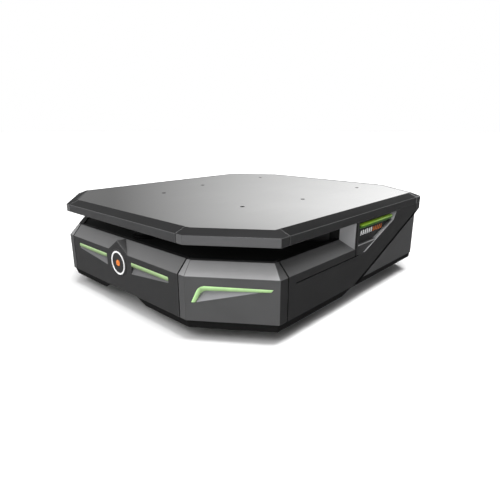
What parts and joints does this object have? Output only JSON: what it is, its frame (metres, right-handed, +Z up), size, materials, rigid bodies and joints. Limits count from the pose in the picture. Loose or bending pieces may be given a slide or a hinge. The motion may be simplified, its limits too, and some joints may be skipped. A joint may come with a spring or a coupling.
{
  "type": "mecanum wheel robot",
  "caption": "Low omnidirectional robot platform: flat eight-sided load deck over a casing with a scanner slot, light strips and hidden mecanum wheels with free rollers.",
  "frame": {"origin": "on the floor, below the centre of the deck", "axes": "+X to the robot's left, -Y to its front (the badge and light strips), +Z up"},
  "size_m": [0.8606, 0.9496, 0.25],
  "materials": {
    "satin_aluminium": "satin brushed",
    "dark_casing": "satin",
    "grey_casing": "satin",
    "black_plastic": "matte",
    "bare_steel": "brushed",
    "roller_rubber": "matte",
    "battery_case": "satin",
    "motor_black": "satin",
    "stop_red": "gloss"
  },
  "bodies": {
    "chassis": {"base_frame": "bare_steel", "deck_plate": "satin_aluminium", "deck_rim": "dark_casing", "front_panel": "dark_casing", "corner_panel_left": "grey_casing", "corner_panel_right": "grey_casing", "side_panel_left": "dark_casing", "side_panel_right": "dark_casing", "rear_quarter_left": "grey_casing", "rear_quarter_right": "grey_casing", "rear_panel": "dark_casing", "skirt": "black_plastic", "scan_bay": "black_plastic", "laser_scanner": "black_plastic", "battery_pack": "battery_case", "control_unit": "grey_casing", "axle_pin": "bare_steel", "gearmotor_rear_left": "motor_black", "gearmotor_rear_right": "motor_black"},
    "front_axle": {"front_axle": "bare_steel", "gearmotor_front_left": "motor_black", "gearmotor_front_right": "motor_black"},
    "wheel_front_left": {"wheel_hub_front_left": "satin_aluminium"},
    "roller_front_left_0": {"roller_front_left_0": "roller_rubber"},
    "roller_front_left_1": {"roller_front_left_1": "roller_rubber"},
    "roller_front_left_2": {"roller_front_left_2": "roller_rubber"},
    "roller_front_left_3": {"roller_front_left_3": "roller_rubber"},
    "roller_front_left_4": {"roller_front_left_4": "roller_rubber"},
    "roller_front_left_5": {"roller_front_left_5": "roller_rubber"},
    "roller_front_left_6": {"roller_front_left_6": "roller_rubber"},
    "roller_front_left_7": {"roller_front_left_7": "roller_rubber"},
    "wheel_front_right": {"wheel_hub_front_right": "satin_aluminium"},
    "roller_front_right_0": {"roller_front_right_0": "roller_rubber"},
    "roller_front_right_1": {"roller_front_right_1": "roller_rubber"},
    "roller_front_right_2": {"roller_front_right_2": "roller_rubber"},
    "roller_front_right_3": {"roller_front_right_3": "roller_rubber"},
    "roller_front_right_4": {"roller_front_right_4": "roller_rubber"},
    "roller_front_right_5": {"roller_front_right_5": "roller_rubber"},
    "roller_front_right_6": {"roller_front_right_6": "roller_rubber"},
    "roller_front_right_7": {"roller_front_right_7": "roller_rubber"},
    "wheel_rear_left": {"wheel_hub_rear_left": "satin_aluminium"},
    "roller_rear_left_0": {"roller_rear_left_0": "roller_rubber"},
    "roller_rear_left_1": {"roller_rear_left_1": "roller_rubber"},
    "roller_rear_left_2": {"roller_rear_left_2": "roller_rubber"},
    "roller_rear_left_3": {"roller_rear_left_3": "roller_rubber"},
    "roller_rear_left_4": {"roller_rear_left_4": "roller_rubber"},
    "roller_rear_left_5": {"roller_rear_left_5": "roller_rubber"},
    "roller_rear_left_6": {"roller_rear_left_6": "roller_rubber"},
    "roller_rear_left_7": {"roller_rear_left_7": "roller_rubber"},
    "wheel_rear_right": {"wheel_hub_rear_right": "satin_aluminium"},
    "roller_rear_right_0": {"roller_rear_right_0": "roller_rubber"},
    "roller_rear_right_1": {"roller_rear_right_1": "roller_rubber"},
    "roller_rear_right_2": {"roller_rear_right_2": "roller_rubber"},
    "roller_rear_right_3": {"roller_rear_right_3": "roller_rubber"},
    "roller_rear_right_4": {"roller_rear_right_4": "roller_rubber"},
    "roller_rear_right_5": {"roller_rear_right_5": "roller_rubber"},
    "roller_rear_right_6": {"roller_rear_right_6": "roller_rubber"},
    "roller_rear_right_7": {"roller_rear_right_7": "roller_rubber"},
    "e_stop_button": {"e_stop_button": "stop_red"},
    "power_button": {"power_button": "bare_steel"}
  },
  "joints": [
    {"name": "front_axle_swing", "type": "hinge", "parent": "chassis", "child": "front_axle", "pos_m": [0, -0.255, 0.124], "axis": [0, 1, 0], "range_deg": [-1.5, 1.5]},
    {"name": "wheel_spin_front_left", "type": "hinge", "parent": "front_axle", "child": "wheel_front_left", "pos_m": [0.318, -0.255, 0.076], "axis": [1, 0, 0], "continuous": true},
    {"name": "roller_spin_front_left_0", "type": "hinge", "parent": "wheel_front_left", "child": "roller_front_left_0", "pos_m": [0.318, -0.255, 0.015], "axis": [0.7071, 0.7071, 0], "continuous": true},
    {"name": "roller_spin_front_left_1", "type": "hinge", "parent": "wheel_front_left", "child": "roller_front_left_1", "pos_m": [0.318, -0.21187, 0.03287], "axis": [0.7071, 0.5, 0.5], "continuous": true},
    {"name": "roller_spin_front_left_2", "type": "hinge", "parent": "wheel_front_left", "child": "roller_front_left_2", "pos_m": [0.318, -0.194, 0.076], "axis": [0.7071, 0, 0.7071], "continuous": true},
    {"name": "roller_spin_front_left_3", "type": "hinge", "parent": "wheel_front_left", "child": "roller_front_left_3", "pos_m": [0.318, -0.21187, 0.11913], "axis": [0.7071, -0.5, 0.5], "continuous": true},
    {"name": "roller_spin_front_left_4", "type": "hinge", "parent": "wheel_front_left", "child": "roller_front_left_4", "pos_m": [0.318, -0.255, 0.137], "axis": [0.7071, -0.7071, 0], "continuous": true},
    {"name": "roller_spin_front_left_5", "type": "hinge", "parent": "wheel_front_left", "child": "roller_front_left_5", "pos_m": [0.318, -0.29813, 0.11913], "axis": [0.7071, -0.5, -0.5], "continuous": true},
    {"name": "roller_spin_front_left_6", "type": "hinge", "parent": "wheel_front_left", "child": "roller_front_left_6", "pos_m": [0.318, -0.316, 0.076], "axis": [0.7071, 0, -0.7071], "continuous": true},
    {"name": "roller_spin_front_left_7", "type": "hinge", "parent": "wheel_front_left", "child": "roller_front_left_7", "pos_m": [0.318, -0.29813, 0.03287], "axis": [0.7071, 0.5, -0.5], "continuous": true},
    {"name": "wheel_spin_front_right", "type": "hinge", "parent": "front_axle", "child": "wheel_front_right", "pos_m": [-0.318, -0.255, 0.076], "axis": [1, 0, 0], "continuous": true},
    {"name": "roller_spin_front_right_0", "type": "hinge", "parent": "wheel_front_right", "child": "roller_front_right_0", "pos_m": [-0.318, -0.255, 0.015], "axis": [0.7071, -0.7071, 0], "continuous": true},
    {"name": "roller_spin_front_right_1", "type": "hinge", "parent": "wheel_front_right", "child": "roller_front_right_1", "pos_m": [-0.318, -0.21187, 0.03287], "axis": [0.7071, -0.5, -0.5], "continuous": true},
    {"name": "roller_spin_front_right_2", "type": "hinge", "parent": "wheel_front_right", "child": "roller_front_right_2", "pos_m": [-0.318, -0.194, 0.076], "axis": [0.7071, 0, -0.7071], "continuous": true},
    {"name": "roller_spin_front_right_3", "type": "hinge", "parent": "wheel_front_right", "child": "roller_front_right_3", "pos_m": [-0.318, -0.21187, 0.11913], "axis": [0.7071, 0.5, -0.5], "continuous": true},
    {"name": "roller_spin_front_right_4", "type": "hinge", "parent": "wheel_front_right", "child": "roller_front_right_4", "pos_m": [-0.318, -0.255, 0.137], "axis": [0.7071, 0.7071, 0], "continuous": true},
    {"name": "roller_spin_front_right_5", "type": "hinge", "parent": "wheel_front_right", "child": "roller_front_right_5", "pos_m": [-0.318, -0.29813, 0.11913], "axis": [0.7071, 0.5, 0.5], "continuous": true},
    {"name": "roller_spin_front_right_6", "type": "hinge", "parent": "wheel_front_right", "child": "roller_front_right_6", "pos_m": [-0.318, -0.316, 0.076], "axis": [0.7071, 0, 0.7071], "continuous": true},
    {"name": "roller_spin_front_right_7", "type": "hinge", "parent": "wheel_front_right", "child": "roller_front_right_7", "pos_m": [-0.318, -0.29813, 0.03287], "axis": [0.7071, -0.5, 0.5], "continuous": true},
    {"name": "wheel_spin_rear_left", "type": "hinge", "parent": "chassis", "child": "wheel_rear_left", "pos_m": [0.318, 0.255, 0.076], "axis": [1, 0, 0], "continuous": true},
    {"name": "roller_spin_rear_left_0", "type": "hinge", "parent": "wheel_rear_left", "child": "roller_rear_left_0", "pos_m": [0.318, 0.255, 0.015], "axis": [0.7071, -0.7071, 0], "continuous": true},
    {"name": "roller_spin_rear_left_1", "type": "hinge", "parent": "wheel_rear_left", "child": "roller_rear_left_1", "pos_m": [0.318, 0.29813, 0.03287], "axis": [0.7071, -0.5, -0.5], "continuous": true},
    {"name": "roller_spin_rear_left_2", "type": "hinge", "parent": "wheel_rear_left", "child": "roller_rear_left_2", "pos_m": [0.318, 0.316, 0.076], "axis": [0.7071, 0, -0.7071], "continuous": true},
    {"name": "roller_spin_rear_left_3", "type": "hinge", "parent": "wheel_rear_left", "child": "roller_rear_left_3", "pos_m": [0.318, 0.29813, 0.11913], "axis": [0.7071, 0.5, -0.5], "continuous": true},
    {"name": "roller_spin_rear_left_4", "type": "hinge", "parent": "wheel_rear_left", "child": "roller_rear_left_4", "pos_m": [0.318, 0.255, 0.137], "axis": [0.7071, 0.7071, 0], "continuous": true},
    {"name": "roller_spin_rear_left_5", "type": "hinge", "parent": "wheel_rear_left", "child": "roller_rear_left_5", "pos_m": [0.318, 0.21187, 0.11913], "axis": [0.7071, 0.5, 0.5], "continuous": true},
    {"name": "roller_spin_rear_left_6", "type": "hinge", "parent": "wheel_rear_left", "child": "roller_rear_left_6", "pos_m": [0.318, 0.194, 0.076], "axis": [0.7071, 0, 0.7071], "continuous": true},
    {"name": "roller_spin_rear_left_7", "type": "hinge", "parent": "wheel_rear_left", "child": "roller_rear_left_7", "pos_m": [0.318, 0.21187, 0.03287], "axis": [0.7071, -0.5, 0.5], "continuous": true},
    {"name": "wheel_spin_rear_right", "type": "hinge", "parent": "chassis", "child": "wheel_rear_right", "pos_m": [-0.318, 0.255, 0.076], "axis": [1, 0, 0], "continuous": true},
    {"name": "roller_spin_rear_right_0", "type": "hinge", "parent": "wheel_rear_right", "child": "roller_rear_right_0", "pos_m": [-0.318, 0.255, 0.015], "axis": [0.7071, 0.7071, 0], "continuous": true},
    {"name": "roller_spin_rear_right_1", "type": "hinge", "parent": "wheel_rear_right", "child": "roller_rear_right_1", "pos_m": [-0.318, 0.29813, 0.03287], "axis": [0.7071, 0.5, 0.5], "continuous": true},
    {"name": "roller_spin_rear_right_2", "type": "hinge", "parent": "wheel_rear_right", "child": "roller_rear_right_2", "pos_m": [-0.318, 0.316, 0.076], "axis": [0.7071, 0, 0.7071], "continuous": true},
    {"name": "roller_spin_rear_right_3", "type": "hinge", "parent": "wheel_rear_right", "child": "roller_rear_right_3", "pos_m": [-0.318, 0.29813, 0.11913], "axis": [0.7071, -0.5, 0.5], "continuous": true},
    {"name": "roller_spin_rear_right_4", "type": "hinge", "parent": "wheel_rear_right", "child": "roller_rear_right_4", "pos_m": [-0.318, 0.255, 0.137], "axis": [0.7071, -0.7071, 0], "continuous": true},
    {"name": "roller_spin_rear_right_5", "type": "hinge", "parent": "wheel_rear_right", "child": "roller_rear_right_5", "pos_m": [-0.318, 0.21187, 0.11913], "axis": [0.7071, -0.5, -0.5], "continuous": true},
    {"name": "roller_spin_rear_right_6", "type": "hinge", "parent": "wheel_rear_right", "child": "roller_rear_right_6", "pos_m": [-0.318, 0.194, 0.076], "axis": [0.7071, 0, -0.7071], "continuous": true},
    {"name": "roller_spin_rear_right_7", "type": "hinge", "parent": "wheel_rear_right", "child": "roller_rear_right_7", "pos_m": [-0.318, 0.21187, 0.03287], "axis": [0.7071, 0.5, -0.5], "continuous": true},
    {"name": "e_stop_press", "type": "slide", "parent": "chassis", "child": "e_stop_button", "axis": [0, -1, 0], "range_m": [0, 0.005], "stiffness_N_per_m": 400},
    {"name": "power_press", "type": "slide", "parent": "chassis", "child": "power_button", "axis": [0, -1, 0], "range_m": [0, 0.003], "stiffness_N_per_m": 300}
  ]
}
